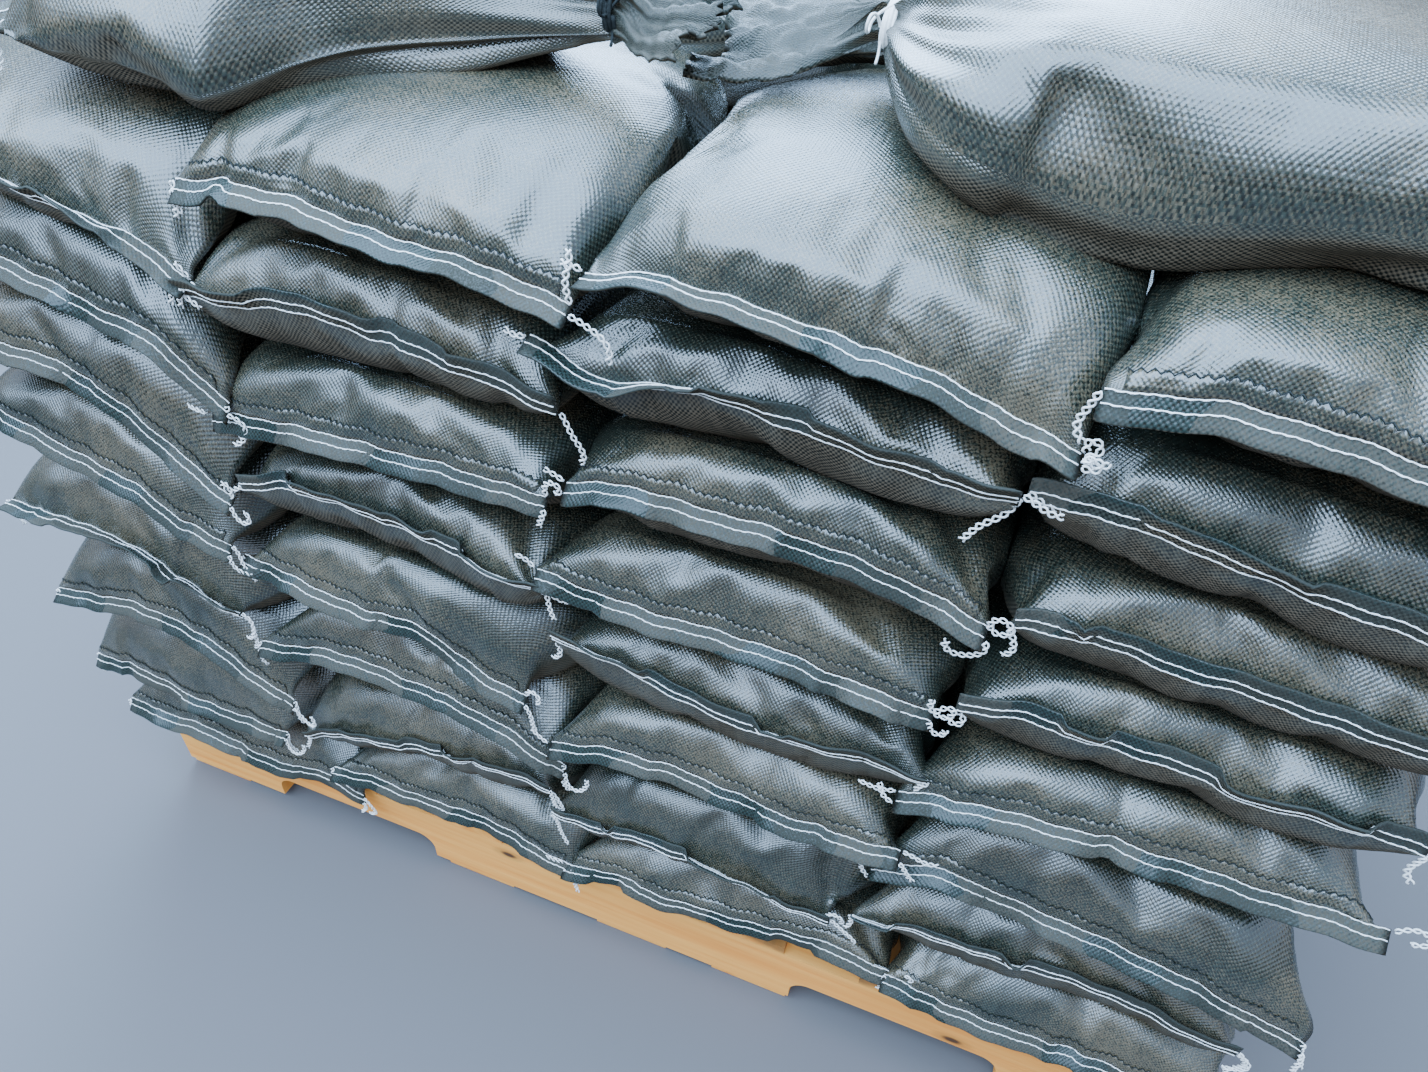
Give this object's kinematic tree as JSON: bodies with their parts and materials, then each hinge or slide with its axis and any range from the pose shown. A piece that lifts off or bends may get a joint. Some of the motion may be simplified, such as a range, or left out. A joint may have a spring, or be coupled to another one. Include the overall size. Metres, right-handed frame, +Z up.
{
  "type": "pallet of sacks",
  "caption": "Notched wooden stringer pallet stacked with filled woven sandbags, sewn hems facing out and tied necks inward, with more sacks lying across the top.",
  "frame": {"origin": "on the floor, below the middle of the pallet", "axes": "+Z up, X along the pallet's longer side, -Y towards the row of sacks that the picture shows"},
  "size_m": [1.3308, 1.08, 1.0048],
  "materials": {
    "stringers": "rough sawn",
    "bottom_boards": "rough sawn",
    "deck_boards": "rough sawn",
    "sack_cloth": "woven polypropylene, satin"
  },
  "bodies": {
    "root": {"stringer_front": "stringers", "stringer_middle": "stringers", "stringer_back": "stringers", "bottom_board_1": "bottom_boards", "bottom_board_2": "bottom_boards", "bottom_board_3": "bottom_boards", "bottom_board_4": "bottom_boards", "bottom_board_5": "bottom_boards", "deck_board_1": "deck_boards", "deck_board_2": "deck_boards", "deck_board_3": "deck_boards", "deck_board_4": "deck_boards", "deck_board_5": "deck_boards", "deck_board_6": "deck_boards", "deck_board_7": "deck_boards", "sack_A1": "sack_cloth", "sack_A2": "sack_cloth", "sack_A3": "sack_cloth", "sack_A4": "sack_cloth", "sack_A5": "sack_cloth", "sack_A6": "sack_cloth", "sack_A7": "sack_cloth", "sack_A8": "sack_cloth", "sack_B1": "sack_cloth", "sack_B2": "sack_cloth", "sack_B3": "sack_cloth", "sack_B4": "sack_cloth", "sack_B5": "sack_cloth", "sack_B6": "sack_cloth", "sack_B7": "sack_cloth", "sack_B8": "sack_cloth", "sack_C1": "sack_cloth", "sack_C2": "sack_cloth", "sack_C3": "sack_cloth", "sack_C4": "sack_cloth", "sack_C5": "sack_cloth", "sack_C6": "sack_cloth", "sack_C7": "sack_cloth", "sack_C8": "sack_cloth", "sack_D1": "sack_cloth", "sack_D2": "sack_cloth", "sack_D3": "sack_cloth", "sack_D4": "sack_cloth", "sack_D5": "sack_cloth", "sack_D6": "sack_cloth", "sack_D7": "sack_cloth", "sack_D8": "sack_cloth", "sack_top_1": "sack_cloth", "sack_top_2": "sack_cloth", "sack_top_3": "sack_cloth", "sack_top_4": "sack_cloth", "sack_top_5": "sack_cloth", "sack_row_back_1": "sack_cloth", "sack_row_back_2": "sack_cloth", "sack_row_back_3": "sack_cloth", "sack_row_back_4": "sack_cloth", "sack_row_back_5": "sack_cloth", "sack_row_back_6": "sack_cloth", "sack_row_back_7": "sack_cloth", "sack_row_back_8": "sack_cloth"}
  },
  "joints": []
}
